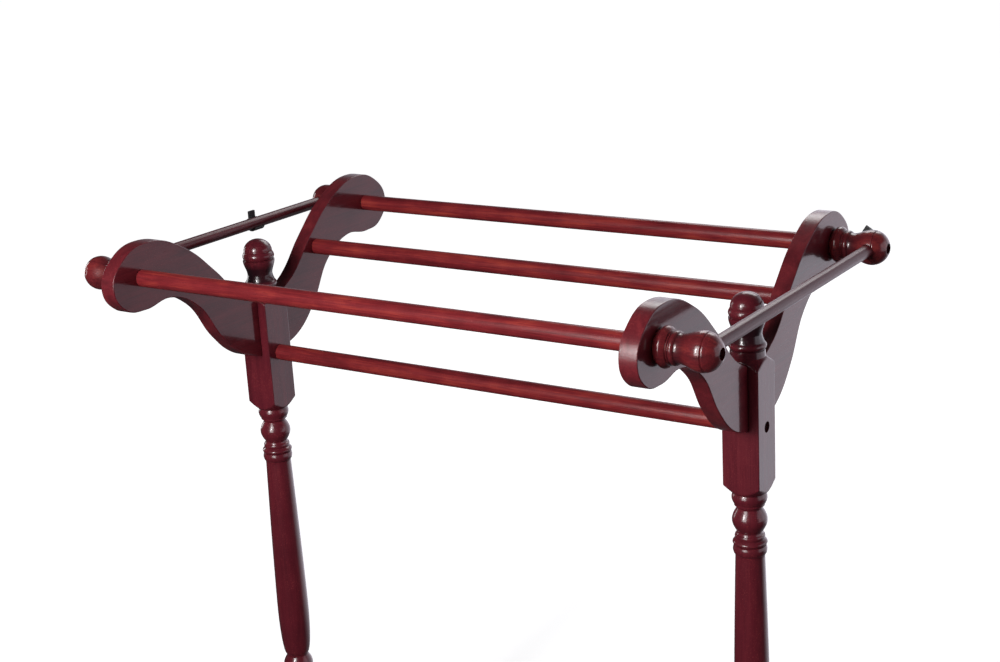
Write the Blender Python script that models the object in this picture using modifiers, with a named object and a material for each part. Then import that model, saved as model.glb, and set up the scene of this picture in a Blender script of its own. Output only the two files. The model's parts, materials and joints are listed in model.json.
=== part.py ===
"""Free-standing turned-post trouser rack with scroll wings, hanging rails and side bars.

Metres, +Z up. X runs along the rails, -Y is the front, and the floor is Z = 0.
The origin is on the floor under the middle of the rack.
"""
import math

import bmesh
import bpy
from mathutils import Matrix, Vector

# ---------------------------------------------------------------- driving dimensions
GAP = 0.0003                # clearance between touching pieces
RAIL_Z = 0.7970             # height of the two upper rails' axis
POST_X = 0.3000             # post axis, each side of the middle
BLOCK = 0.0381              # side of the posts' square blocks
BLOCK_DROP = 0.1330         # upper rail axis down to the middle of the upper block
BLOCK_HALF = 0.0590         # middle of a block to the end of its corners
LOWER_BLOCK_DROP = 0.6265   # upper rail axis down to the middle of the lower block
RAIL_R = 0.0090             # radius of every rail
BAR_R = 0.00635             # radius of the side bars
WING_THICK = 0.0180         # thickness of the wings and feet
LOBE_Y = 0.1880             # upper rails' distance from the posts' plane
SECOND_RAIL_Y = 0.0910      # the second rear rail
SECOND_RAIL_DROP = 0.0315
KNOB_LENGTH = 0.0580        # knob, from the wing's outer face to its tip
BALL_AT = 0.0405            # wing's outer face to the middle of the knob's ball
BOLT_R = 0.0030
BOLT_HEAD_R = 0.0048
BOLT_HEAD = 0.0040
COUNTERBORE_R = 0.0055      # open plug holes over the bolt heads
INSERT_R = 0.0050
INSERT_LENGTH = 0.0130
DOWEL_R = 0.0040
DOWEL_HALF = 0.0310         # half the length of the dowels through the posts
DOWEL_DROPS = (0.0840, 0.1180)   # from a board's round end to its two dowels
GLIDE_R = 0.0080
GLIDE_FACE_R = 0.0070       # the flat that rests on the floor
GLIDE_HEIGHT = 0.0040
SPIGOT_R = 0.0050           # turned ends of the second rear rail
SPIGOT_LENGTH = 0.0090
CLIP_Y = 0.0560             # middle of the clip on the left side bar
CLIP_LENGTH = 0.0160
CLIP_OPENING = (132, 320)   # degrees of the cuff round the bar, from outwards over the top
CLIP_LIP = 0.0009           # wall of the cuff at its lips
CLIP_WALL = 0.0028          # and under the bar
CATCH_THICK = 0.0032
CATCH_HALF_WIDTH = 0.0085
CATCH_REACH = 0.0205        # screw to the catch's square end
CATCH_LEAN = math.radians(57)
SCREW_R = 0.0015
SCREW_HEAD_R = 0.0030
TURN_STEPS = 16             # facets round a turned piece
ROD_STEPS = 20              # facets round a rail or bar
HOLE_STEPS = 12             # facets round a small bore

# ---------------------------------------------------------------- derived places
HALF = BLOCK / 2
INNER_FACE = POST_X - WING_THICK / 2     # wings' faces that look at the middle
OUTER_FACE = POST_X + WING_THICK / 2
BAR_X = OUTER_FACE + BALL_AT
SECOND_RAIL_Z = RAIL_Z - SECOND_RAIL_DROP
UPPER_BLOCK_Z = RAIL_Z - BLOCK_DROP
LOWER_BLOCK_Z = RAIL_Z - LOWER_BLOCK_DROP
FOOT_Z = LOWER_BLOCK_Z - BLOCK_DROP      # middle of the feet's round ends
BORE_R = BOLT_R + GAP
COUNTERBORE_DEPTH = 0.0120               # into a knob's tip
POST_MOUTH_DEPTH = 0.0100                # into a post's outer face
BAR_SOCKET = 0.0078                      # knob axis to the bottom of the bar's socket
CATCH_FACE = 0.0140                      # knob axis to the flat behind the rear knobs
PAST = 0.0100                            # how far a cutter runs past the face that it cuts
BOLT_GRIP = 0.0120                       # thread of each bolt inside its rail insert
SIDES = (("left", -1), ("right", 1))
ENDS = (("front", -1), ("rear", 1))


# ---------------------------------------------------------------- scene and materials
def clear_scene():
    for obj in list(bpy.data.objects):
        bpy.data.objects.remove(obj, do_unlink=True)


def new_collection(name):
    collection = bpy.data.collections.new(name)
    bpy.context.scene.collection.children.link(collection)
    return collection


def make_material(name, color, roughness, metallic):
    material = bpy.data.materials.new(name)
    material.use_nodes = True
    shader = material.node_tree.nodes["Principled BSDF"]
    shader.inputs["Base Color"].default_value = (*color, 1.0)
    shader.inputs["Roughness"].default_value = roughness
    shader.inputs["Metallic"].default_value = metallic
    material.diffuse_color = (*color, 1.0)
    return material


FINISHES = {
    "frame_lacquer": ((0.105, 0.014, 0.018), 0.18, 0.0),
    "rail_lacquer": ((0.200, 0.022, 0.016), 0.18, 0.0),
    "steel": ((0.55, 0.55, 0.56), 0.35, 1.0),
    "bare_wood": ((0.55, 0.36, 0.20), 0.75, 0.0),
    "black_plastic": ((0.012, 0.012, 0.013), 0.45, 0.0),
    "glide_plastic": ((0.10, 0.08, 0.07), 0.55, 0.0),
}


def finish(obj, kind):
    color, roughness, metallic = FINISHES[kind]
    obj.data.materials.clear()
    obj.data.materials.append(make_material(f"{obj.name}_{kind}", color, roughness, metallic))


# ---------------------------------------------------------------- modelling helpers
def add_object(name, mesh, collection):
    obj = bpy.data.objects.new(name, mesh)
    collection.objects.link(obj)
    return obj


def smooth(obj, angle=math.radians(40)):
    obj.data.shade_smooth()
    obj.data.set_sharp_from_angle(angle=angle)


def turned(name, profile, collection, steps=TURN_STEPS):
    """Turn (radius, height) points, listed from the top down, about local Z."""
    mesh = bpy.data.meshes.new(name)
    edges = [(i, i + 1) for i in range(len(profile) - 1)]
    mesh.from_pydata([(r, 0.0, z) for r, z in profile], edges, [])
    obj = add_object(name, mesh, collection)
    screw = obj.modifiers.new("turn", "SCREW")
    screw.axis = "Z"
    screw.angle = math.tau
    screw.steps = steps
    screw.render_steps = steps
    screw.use_merge_vertices = True
    screw.merge_threshold = 0.00005
    screw.use_smooth_shade = True
    return obj


def to_mesh(obj, collection):
    """Replace a curve or a modified object by a plain welded mesh at the same place."""
    bpy.context.view_layer.update()
    graph = bpy.context.evaluated_depsgraph_get()
    mesh = bpy.data.meshes.new_from_object(obj.evaluated_get(graph))
    place = obj.matrix_world.copy()
    name = obj.name
    bpy.data.objects.remove(obj, do_unlink=True)
    work = bmesh.new()
    work.from_mesh(mesh)
    bmesh.ops.remove_doubles(work, verts=work.verts, dist=0.00002)
    bmesh.ops.recalc_face_normals(work, faces=work.faces)
    work.to_mesh(mesh)
    work.free()
    mesh.name = name
    plain = add_object(name, mesh, collection)
    plain.matrix_world = place
    return plain


def rod(name, radius, start, end, collection, facets=ROD_STEPS):
    """A closed cylinder from start to end."""
    start, end = Vector(start), Vector(end)
    mesh = bpy.data.meshes.new(name)
    work = bmesh.new()
    length = (end - start).length
    bmesh.ops.create_cone(work, cap_ends=True, segments=facets, radius1=radius, radius2=radius,
                          depth=length)
    work.to_mesh(mesh)
    work.free()
    obj = add_object(name, mesh, collection)
    obj.rotation_mode = "QUATERNION"
    obj.rotation_quaternion = (end - start).to_track_quat("Z", "Y")
    obj.location = (start + end) / 2
    return obj


def box(name, low, high, collection):
    mesh = bpy.data.meshes.new(name)
    work = bmesh.new()
    bmesh.ops.create_cube(work, size=1.0)
    low, high = Vector(low), Vector(high)
    bmesh.ops.scale(work, vec=high - low, verts=work.verts)
    bmesh.ops.translate(work, vec=(low + high) / 2, verts=work.verts)
    work.to_mesh(mesh)
    work.free()
    return add_object(name, mesh, collection)


def combine(obj, tool, operation="DIFFERENCE"):
    """Add a Boolean with a hidden tool to an object."""
    modifier = obj.modifiers.new(tool.name, "BOOLEAN")
    modifier.operation = operation
    modifier.solver = "EXACT"
    modifier.object = tool
    tool.hide_render = True
    tool.display_type = "WIRE"


def outline_plate(name, points, thick, collection, segments=4):
    """A flat plate from a closed outline of (x, y, is_corner) points in local XY.

    segments is how many pieces each curved stretch between two points is cut into.
    """
    curve = bpy.data.curves.new(name, "CURVE")
    curve.dimensions = "2D"
    curve.fill_mode = "BOTH"
    curve.extrude = thick / 2
    curve.resolution_u = segments
    spline = curve.splines.new("BEZIER")
    spline.bezier_points.add(len(points) - 1)
    spline.use_cyclic_u = True
    for knot, (x, y, is_corner) in zip(spline.bezier_points, points):
        knot.co = (x, y, 0.0)
        kind = "VECTOR" if is_corner else "AUTO"
        knot.handle_left_type = kind
        knot.handle_right_type = kind
    return add_object(name, curve, collection)


def bulge(top, bottom, edge, peak, count):
    """A bead between two heights: radius edge at its ends and peak in its middle."""
    points = []
    for i in range(count + 1):
        t = i / count
        points.append((edge + (peak - edge) * math.sin(math.pi * t), top + (bottom - top) * t))
    return points


# ---------------------------------------------------------------- posts
def finial_profile():
    """The finial from its tip to the upper block's shoulder, heights from the rails' axis."""
    tip = -0.0025
    dome = [(0.0160 * math.sin(a), tip - 0.0138 * (1 - math.cos(a)))
            for a in (math.radians(22.5 * i) for i in range(5))]
    bead = bulge(-0.0172, -0.0260, 0.0162, 0.0179, 3)
    waist = [(0.0159 + 0.0019 * math.cos(math.pi * t), -0.0265 - 0.0165 * t) for t in (0.33, 0.67, 1.0)]
    collar = bulge(-0.0500, -0.0575, 0.0162, 0.0181, 3)
    return dome + bead + waist + collar + [(0.0168, -0.0590), (0.0172, -0.0640)]


def upper_turnings():
    """Bead, ball and ring below the upper block, heights from the rails' axis."""
    bead = bulge(-0.2012, -0.2122, 0.0150, 0.0173, 3)
    ball = bulge(-0.2180, -0.2418, 0.0124, 0.0172, 5)
    ring = bulge(-0.2505, -0.2645, 0.0145, 0.0169, 3)
    return bead + [(0.0150, -0.2145)] + ball + [(0.0144, -0.2450), (0.0144, -0.2485)] + ring


def shaft():
    """The slender vase: it swells slowly downward and closes quickly to a neck."""
    top, widest, neck = -0.2690, -0.4550, -0.5145
    thin, thick, throat = 0.0145, 0.0183, 0.0129
    slow = [(thin + (thick - thin) * (1 - (1 - t) ** 1.35), top + (widest - top) * t)
            for t in (0.0, 0.33, 0.67, 1.0)]
    quick = [(throat + (thick - throat) * math.cos(a), widest + (neck - widest) * math.sin(a))
             for a in (math.radians(22.5 * i) for i in range(1, 5))]
    return slow + quick


def lower_turnings():
    """Ball and bead above the lower block, heights from the rails' axis."""
    ball = bulge(-0.5175, -0.5410, 0.0126, 0.0174, 5)
    bead = bulge(-0.5470, -0.5580, 0.0150, 0.0173, 3)
    return ball + [(0.0150, -0.5450)] + bead


def drop_profile():
    """The turned drop under the lower block."""
    top = -LOWER_BLOCK_DROP - BLOCK_HALF - 0.0098
    button = [(0.0150 * math.cos(a), top - 0.0060 - 0.0140 * math.sin(a))
              for a in (math.radians(22.5 * i) for i in range(5))]
    button[-1] = (0.0, button[-1][1])
    return [(0.0165, top - 0.0020)] + button


def block_profile(drop):
    """A block's turned shoulders, just outside its corners so that the corners stay sharp."""
    corner = HALF * math.sqrt(2) + 0.0002
    return [(corner, -drop + BLOCK_HALF), (corner, -drop - BLOCK_HALF)]


def build_post(side, sign, parts, tools):
    name = f"{side}_post"
    profile = (finial_profile() + block_profile(BLOCK_DROP) + upper_turnings() + shaft()
               + lower_turnings() + block_profile(LOWER_BLOCK_DROP) + drop_profile())
    post = turned(name, profile, parts)
    post.location = (sign * POST_X, 0, RAIL_Z)
    square = box(f"{name}_square", (sign * POST_X - HALF, -HALF, -PAST),
                 (sign * POST_X + HALF, HALF, RAIL_Z + PAST), tools)
    combine(post, square, "INTERSECT")
    outside = POST_X + HALF
    for level, z in (("upper", UPPER_BLOCK_Z), ("lower", LOWER_BLOCK_Z)):
        bore = rod(f"{name}_{level}_bore", BORE_R, (sign * (POST_X - HALF - PAST), 0, z),
                   (sign * (outside + PAST), 0, z), tools, HOLE_STEPS)
        mouth = rod(f"{name}_{level}_mouth", COUNTERBORE_R,
                    (sign * (outside - POST_MOUTH_DEPTH), 0, z), (sign * (outside + PAST), 0, z), tools)
        combine(post, bore)
        combine(post, mouth)
    for place, z, _ in dowel_places():
        hole = rod(f"{name}_{place}_hole", DOWEL_R + GAP, (sign * POST_X, -HALF - PAST, z),
                   (sign * POST_X, HALF + PAST, z), tools, HOLE_STEPS)
        combine(post, hole)
    post = to_mesh(post, parts)
    finish(post, "frame_lacquer")
    smooth(post)


# ---------------------------------------------------------------- wings and feet
def scroll_outline():
    """The S-shaped board, as distance from the posts' plane and height from its round end."""
    start = HALF + GAP
    return [
        (start, -0.0690, True),
        (0.0450, -0.0545, False),
        (0.0800, -0.0185, False),
        (0.1220, 0.0165, False),
        (0.1720, 0.0352, False),
        (0.2105, 0.0245, False),
        (0.2285, -0.0030, False),
        (0.2140, -0.0285, False),
        (0.1870, -0.0345, False),
        (0.1500, -0.0310, False),
        (0.1120, -0.0500, False),
        (0.0790, -0.0955, False),
        (0.0510, -0.1215, False),
        (start, -0.1340, True),
    ]


def dowel_places():
    """Name, height, and up or down, of the dowels that pass through one post."""
    places = []
    for number, drop in enumerate(DOWEL_DROPS, start=1):
        places.append((f"wing_dowel_{number}", RAIL_Z - drop, 1))
        places.append((f"foot_dowel_{number}", FOOT_Z + drop, -1))
    return places


def build_board(name, sign, end, up, center_z, parts):
    """One scroll board: up is 1 for a wing and -1 for a foot."""
    board = outline_plate(name, scroll_outline(), WING_THICK, parts)
    across = Vector((0, end, 0))
    height = Vector((0, 0, up))
    through = across.cross(height)
    turn = Matrix((across, height, through)).transposed().to_4x4()
    board.matrix_world = Matrix.Translation((sign * POST_X, 0, center_z)) @ turn
    return to_mesh(board, parts)


def bore_dowels(board, sign, end, up, tools):
    for place, z, place_up in dowel_places():
        if place_up == up:
            hole = rod(f"{board.name}_{place}", DOWEL_R + GAP, (sign * POST_X, end * (HALF - PAST), z),
                       (sign * POST_X, end * (DOWEL_HALF + 0.001), z), tools, HOLE_STEPS)
            combine(board, hole)


def build_wing(side, sign, end_name, end, parts, tools):
    name = f"{side}_{end_name}_wing"
    wing = build_board(name, sign, end, 1, RAIL_Z, parts)
    bore = rod(f"{name}_bore", BORE_R, (sign * (INNER_FACE - PAST), end * LOBE_Y, RAIL_Z),
               (sign * (OUTER_FACE + PAST), end * LOBE_Y, RAIL_Z), tools, HOLE_STEPS)
    combine(wing, bore)
    bore_dowels(wing, sign, end, 1, tools)
    if end_name == "rear":
        bottom = INNER_FACE + SPIGOT_LENGTH + 0.0005
        socket = rod(f"{name}_socket", SPIGOT_R + GAP,
                     (sign * (INNER_FACE - PAST), SECOND_RAIL_Y, SECOND_RAIL_Z),
                     (sign * bottom, SECOND_RAIL_Y, SECOND_RAIL_Z), tools, TURN_STEPS)
        combine(wing, socket)
    finish(wing, "frame_lacquer")
    smooth(wing)


def build_foot(side, sign, end_name, end, parts, tools):
    """The wing's board upside down, with a flat for its glide."""
    name = f"{side}_{end_name}_foot"
    foot = build_board(name, sign, end, -1, FOOT_Z, parts)
    middle = Vector((sign * POST_X, end * LOBE_Y, 0))
    reach = Vector((WING_THICK, 0.05, 0))
    flat = box(f"{name}_flat", middle - reach - Vector((0, 0, PAST)),
               middle + reach + Vector((0, 0, GLIDE_HEIGHT + GAP)), tools)
    combine(foot, flat)
    bore_dowels(foot, sign, end, -1, tools)
    finish(foot, "frame_lacquer")
    smooth(foot)


# ---------------------------------------------------------------- rails and bars
def build_bolted_rail(name, y, z, half, parts, tools):
    """A rail with a threaded insert let into each end."""
    rail = rod(name, RAIL_R, (-half, y, z), (half, y, z), parts)
    for side, sign in SIDES:
        hole = rod(f"{name}_{side}_hole", INSERT_R + GAP, (sign * (half - INSERT_LENGTH - 0.001), y, z),
                   (sign * (half + PAST), y, z), tools, HOLE_STEPS)
        combine(rail, hole)
        build_insert(f"{name}_{side}_insert", sign, y, z, half, parts, tools)
    finish(rail, "rail_lacquer")
    smooth(rail)


def build_insert(name, sign, y, z, end, parts, tools):
    """A threaded sleeve let into the end of a bolted rail."""
    sleeve = rod(name, INSERT_R, (sign * (end - INSERT_LENGTH), y, z), (sign * (end - GAP), y, z), parts,
                 HOLE_STEPS)
    thread = rod(f"{name}_thread", BORE_R, (sign * (end - INSERT_LENGTH - PAST), y, z),
                 (sign * (end + PAST), y, z), tools, HOLE_STEPS)
    combine(sleeve, thread)
    finish(sleeve, "steel")
    smooth(sleeve)


def build_second_rail(parts, tools):
    """The second rear rail, glued by a turned spigot at each end."""
    shoulder = INNER_FACE - GAP
    half = INNER_FACE + SPIGOT_LENGTH
    rail = rod("rear_second_rail", SPIGOT_R, (-half, SECOND_RAIL_Y, SECOND_RAIL_Z),
               (half, SECOND_RAIL_Y, SECOND_RAIL_Z), parts, TURN_STEPS)
    thick = rod("rear_second_rail_body", RAIL_R, (-shoulder, SECOND_RAIL_Y, SECOND_RAIL_Z),
                (shoulder, SECOND_RAIL_Y, SECOND_RAIL_Z), tools)
    combine(rail, thick, "UNION")
    finish(rail, "rail_lacquer")
    smooth(rail)


def build_side_bar(side, sign, parts):
    reach = LOBE_Y - BAR_SOCKET - GAP
    bar = rod(f"{side}_side_bar", BAR_R, (sign * BAR_X, -reach, RAIL_Z), (sign * BAR_X, reach, RAIL_Z),
              parts)
    finish(bar, "frame_lacquer")
    smooth(bar)


# ---------------------------------------------------------------- knobs
def knob_profile():
    """The knob from its drilled tip down to its base, heights from the wing's outer face."""
    ball = [(0.0178 * math.sin(a), BALL_AT + (KNOB_LENGTH + 0.0006 - BALL_AT) * math.cos(a))
            for a in (math.radians(20 + 14 * i) for i in range(6))]
    waist = [(0.0154 + 0.0024 * math.cos(math.pi * t), BALL_AT - 0.0205 * t)
             for t in (0.25, 0.5, 0.75, 1.0)]
    ring = [(0.0147, 0.0165), (0.0150, 0.0140), (0.0143, 0.0118)]
    base = bulge(0.0112, GAP, 0.0155, 0.0184, 4)
    return [(0.0, KNOB_LENGTH)] + ball + waist + ring + base + [(0.0, GAP)]


def build_knob(side, sign, end_name, end, parts, tools):
    name = f"{side}_{end_name}_knob"
    knob = turned(name, knob_profile(), parts)
    knob.rotation_euler = (0, sign * math.pi / 2, 0)
    knob.location = (sign * OUTER_FACE, end * LOBE_Y, RAIL_Z)
    y, z = end * LOBE_Y, RAIL_Z
    tip = OUTER_FACE + KNOB_LENGTH
    bore = rod(f"{name}_bore", BORE_R, (sign * (OUTER_FACE - PAST), y, z), (sign * (tip + PAST), y, z),
               tools, HOLE_STEPS)
    mouth = rod(f"{name}_mouth", COUNTERBORE_R, (sign * (tip - COUNTERBORE_DEPTH), y, z),
                (sign * (tip + PAST), y, z), tools)
    socket = rod(f"{name}_socket", BAR_R + GAP, (sign * BAR_X, end * (LOBE_Y - BAR_SOCKET), z),
                 (sign * BAR_X, end * (LOBE_Y - BAR_SOCKET - 2 * PAST), z), tools)
    for tool in (bore, mouth, socket):
        combine(knob, tool)
    if end_name == "rear":
        flatten_for_catch(knob, sign, tools)
    knob = to_mesh(knob, parts)
    finish(knob, "frame_lacquer")
    smooth(knob)


def flatten_for_catch(knob, sign, tools):
    """The flat and the screw hole behind a rear knob's ball."""
    face = LOBE_Y + CATCH_FACE
    corner = Vector((sign * BAR_X, face, RAIL_Z))
    flat = box(f"{knob.name}_flat", corner - Vector((2 * PAST, 0, 2 * PAST)),
               corner + Vector((2 * PAST, PAST, 2 * PAST)), tools)
    hole = rod(f"{knob.name}_screw_hole", SCREW_R + GAP, (sign * BAR_X, face - 0.0082, RAIL_Z),
               (sign * BAR_X, face + PAST, RAIL_Z), tools, HOLE_STEPS)
    combine(knob, flat)
    combine(knob, hole)


# ---------------------------------------------------------------- clip and catches
def arc(radius, start, stop, count):
    """Points on an arc about the origin, angles in degrees."""
    angles = [math.radians(start + (stop - start) * i / count) for i in range(count + 1)]
    return [(radius * math.cos(a), radius * math.sin(a)) for a in angles]


def clip_outline():
    """The snap cuff round the bar, thick under it and thin at its two lips."""
    start, stop = CLIP_OPENING
    inner = arc(BAR_R + GAP, start, stop, 16)
    outer = []
    for i in range(17):
        t = i / 16
        angle = math.radians(stop + (start - stop) * t)
        radius = BAR_R + GAP + CLIP_LIP + (CLIP_WALL - CLIP_LIP) * math.sin(math.pi * t) ** 0.7
        outer.append((radius * math.cos(angle), radius * math.sin(angle)))
    return inner + outer


def build_clip(parts, tools):
    """The black clip on the left bar: a snap cuff with an upright thumb tab at its upper lip."""
    cuff = outline_plate("left_bar_clip", [(x, y, True) for x, y in clip_outline()], CLIP_LENGTH, parts, 1)
    cuff.rotation_euler = (math.pi / 2, 0, 0)
    cuff.location = (-BAR_X, CLIP_Y, RAIL_Z)
    cuff = to_mesh(cuff, parts)
    tab = box("clip_tab", (-BAR_X - 0.0080, CLIP_Y - 0.0042, RAIL_Z + 0.0046),
              (-BAR_X - 0.0048, CLIP_Y + 0.0054, RAIL_Z + 0.0134), tools)
    combine(cuff, tab, "UNION")
    for end in (-1, 1):
        wedge = box(f"clip_wedge_{end}", (-0.02, -0.01, -0.02), (0.02, 0.01, 0.0), tools)
        wedge.rotation_euler = (end * math.radians(50), 0, 0)
        wedge.location = (-BAR_X, CLIP_Y + end * (CLIP_LENGTH / 2 + 0.0085), RAIL_Z - BAR_R)
        combine(cuff, wedge)
    finish(cuff, "black_plastic")


def build_catch(side, sign, parts, tools):
    """A black turn button on the flat behind a rear knob, with a thumb end up and inward."""
    near = LOBE_Y + CATCH_FACE + GAP
    rounded = arc(CATCH_HALF_WIDTH, 180, 360, 10)
    square = [(CATCH_HALF_WIDTH, CATCH_REACH), (-CATCH_HALF_WIDTH, CATCH_REACH)]
    points = [(x, y, True) for x, y in rounded + square]
    catch = outline_plate(f"{side}_bar_catch", points, CATCH_THICK, parts, 1)
    catch.rotation_euler = (math.pi / 2, -sign * CATCH_LEAN, 0)
    catch.location = (sign * BAR_X, near + CATCH_THICK / 2, RAIL_Z)
    catch = to_mesh(catch, parts)
    hole = rod(f"{side}_catch_hole", SCREW_R + GAP, (sign * BAR_X, near - PAST, RAIL_Z),
               (sign * BAR_X, near + PAST, RAIL_Z), tools, HOLE_STEPS)
    combine(catch, hole)
    finish(catch, "black_plastic")


# ---------------------------------------------------------------- fasteners
def bolt(name, start, direction, length, parts):
    """A bolt whose head's underside is at start; its shank runs the other way."""
    start, direction = Vector(start), Vector(direction)
    profile = [
        (0.0, BOLT_HEAD - 0.0018),
        (0.0018, BOLT_HEAD - 0.0018),
        (0.0020, BOLT_HEAD),
        (0.0040, BOLT_HEAD),
        (BOLT_HEAD_R, BOLT_HEAD * 0.6),
        (BOLT_HEAD_R, GAP),
        (BOLT_R, GAP),
        (BOLT_R, -length),
        (0.0, -length),
    ]
    obj = turned(name, profile, parts, 12)
    obj.rotation_mode = "QUATERNION"
    obj.rotation_quaternion = direction.to_track_quat("Z", "Y")
    obj.location = start
    finish(obj, "steel")


def build_bolts(side, sign, parts):
    """Knob bolts into the upper rails, and post bolts into the middle rails."""
    seat = OUTER_FACE + KNOB_LENGTH - COUNTERBORE_DEPTH
    length = seat - INNER_FACE + BOLT_GRIP
    for end_name, end in ENDS:
        bolt(f"{side}_{end_name}_knob_bolt", (sign * seat, end * LOBE_Y, RAIL_Z), (sign, 0, 0), length, parts)
    seat = POST_X + HALF - POST_MOUTH_DEPTH
    length = seat - (POST_X - HALF) + BOLT_GRIP
    for level, z in (("upper", UPPER_BLOCK_Z), ("lower", LOWER_BLOCK_Z)):
        bolt(f"{side}_{level}_post_bolt", (sign * seat, 0, z), (sign, 0, 0), length, parts)


def build_dowels(side, sign, parts):
    """Glued dowels through a post, which hold its wings and its feet."""
    for place, z, _ in dowel_places():
        dowel = rod(f"{side}_{place}", DOWEL_R, (sign * POST_X, -DOWEL_HALF, z),
                    (sign * POST_X, DOWEL_HALF, z), parts, HOLE_STEPS)
        finish(dowel, "bare_wood")
        smooth(dowel)


def build_catch_screw(side, sign, parts):
    """A round-headed wood screw whose head holds the catch against its flat."""
    outside = LOBE_Y + CATCH_FACE + GAP + CATCH_THICK
    profile = [(0.0, 0.0016), (0.0020, 0.0014), (SCREW_HEAD_R, 0.0006), (SCREW_HEAD_R, GAP),
               (SCREW_R, GAP), (SCREW_R, -0.0105), (0.0, -0.0110)]
    screw = turned(f"{side}_catch_screw", profile, parts, HOLE_STEPS)
    screw.rotation_euler = (-math.pi / 2, 0, 0)
    screw.location = (sign * BAR_X, outside, RAIL_Z)
    finish(screw, "steel")


def build_glide(side, sign, end_name, end, parts):
    profile = [(0.0, GLIDE_HEIGHT), (GLIDE_R, GLIDE_HEIGHT), (GLIDE_R, 0.0012), (GLIDE_FACE_R, 0.0),
               (0.0, 0.0)]
    glide = turned(f"{side}_{end_name}_glide", profile, parts)
    glide.location = (sign * POST_X, end * LOBE_Y, 0)
    finish(glide, "glide_plastic")


# ---------------------------------------------------------------- assembly
def main():
    clear_scene()
    parts = new_collection("trouser_rack")
    tools = new_collection("cutters")
    for side, sign in SIDES:
        build_post(side, sign, parts, tools)
        for end_name, end in ENDS:
            build_wing(side, sign, end_name, end, parts, tools)
            build_foot(side, sign, end_name, end, parts, tools)
            build_knob(side, sign, end_name, end, parts, tools)
            build_glide(side, sign, end_name, end, parts)
        build_side_bar(side, sign, parts)
        build_bolts(side, sign, parts)
        build_dowels(side, sign, parts)
        build_catch(side, sign, parts, tools)
        build_catch_screw(side, sign, parts)
    upper_half = INNER_FACE - GAP
    middle_half = POST_X - HALF - GAP
    build_bolted_rail("front_rail", -LOBE_Y, RAIL_Z, upper_half, parts, tools)
    build_bolted_rail("rear_upper_rail", LOBE_Y, RAIL_Z, upper_half, parts, tools)
    build_bolted_rail("centre_rail", 0.0, UPPER_BLOCK_Z, middle_half, parts, tools)
    build_bolted_rail("bottom_rail", 0.0, LOWER_BLOCK_Z, middle_half, parts, tools)
    build_second_rail(parts, tools)
    build_clip(parts, tools)


main()
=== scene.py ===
import json
import math

import bmesh
import bpy
from mathutils import Euler, Matrix, Vector


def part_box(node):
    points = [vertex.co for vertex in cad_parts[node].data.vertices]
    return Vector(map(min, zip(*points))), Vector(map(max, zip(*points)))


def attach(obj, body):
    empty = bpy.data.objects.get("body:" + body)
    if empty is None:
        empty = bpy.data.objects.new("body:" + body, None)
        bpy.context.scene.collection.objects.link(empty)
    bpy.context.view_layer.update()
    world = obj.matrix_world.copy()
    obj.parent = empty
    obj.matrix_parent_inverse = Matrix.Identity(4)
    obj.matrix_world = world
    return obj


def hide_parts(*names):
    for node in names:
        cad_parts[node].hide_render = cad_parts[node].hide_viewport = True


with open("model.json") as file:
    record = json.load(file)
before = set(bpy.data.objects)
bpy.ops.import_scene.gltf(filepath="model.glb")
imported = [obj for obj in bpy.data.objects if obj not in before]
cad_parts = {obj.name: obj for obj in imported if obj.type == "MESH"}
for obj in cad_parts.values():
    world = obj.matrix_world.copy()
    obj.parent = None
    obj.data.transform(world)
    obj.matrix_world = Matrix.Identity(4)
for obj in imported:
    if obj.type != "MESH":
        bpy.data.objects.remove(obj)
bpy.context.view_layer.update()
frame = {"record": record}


# ---------------------------------------------------------------- the frame's places and sizes
def middle(node):
    low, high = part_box(node)
    return (low + high) / 2


def extent(node):
    low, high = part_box(node)
    return high - low


GAP = 0.0003                                  # clearance between touching pieces, as in the frame
RAIL_Z = middle("front_rail").z
RAIL_R = extent("front_rail").z / 2
LOBE_Y = middle("rear_upper_rail").y
POST_X = middle("right_post").x
HALF = extent("right_post").y / 2             # half the side of the square blocks
UPPER_BLOCK_Z = middle("centre_rail").z
LOWER_BLOCK_Z = middle("bottom_rail").z
BLOCK_DROP = RAIL_Z - UPPER_BLOCK_Z
LOWER_BLOCK_DROP = RAIL_Z - LOWER_BLOCK_Z
FOOT_Z = LOWER_BLOCK_Z - BLOCK_DROP
INNER_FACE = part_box("right_front_wing")[0].x
OUTER_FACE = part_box("right_front_wing")[1].x
WING_THICK = OUTER_FACE - INNER_FACE
BAR_X = middle("right_side_bar").x
BAR_R = extent("right_side_bar").z / 2
BALL_AT = BAR_X - OUTER_FACE
KNOB_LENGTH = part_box("right_front_knob")[1].x - OUTER_FACE
SECOND_RAIL_Y = middle("rear_second_rail").y
SECOND_RAIL_Z = middle("rear_second_rail").z
CLIP_Y = middle("left_bar_clip").y
CLIP_LENGTH = extent("left_bar_clip").y
CATCH_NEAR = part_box("right_bar_catch")[0].y
CATCH_THICK = extent("right_bar_catch").y
DOWEL_R = extent("left_wing_dowel_1").z / 2
DOWEL_HALF = extent("left_wing_dowel_1").y / 2
DOWEL_DROPS = [RAIL_Z - middle(f"left_wing_dowel_{number}").z for number in (1, 2)]
INSERT_R = extent("front_rail_left_insert").z / 2
INSERT_LENGTH = extent("front_rail_left_insert").x
GLIDE_R = extent("left_front_glide").x / 2
GLIDE_HEIGHT = extent("left_front_glide").z

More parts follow.
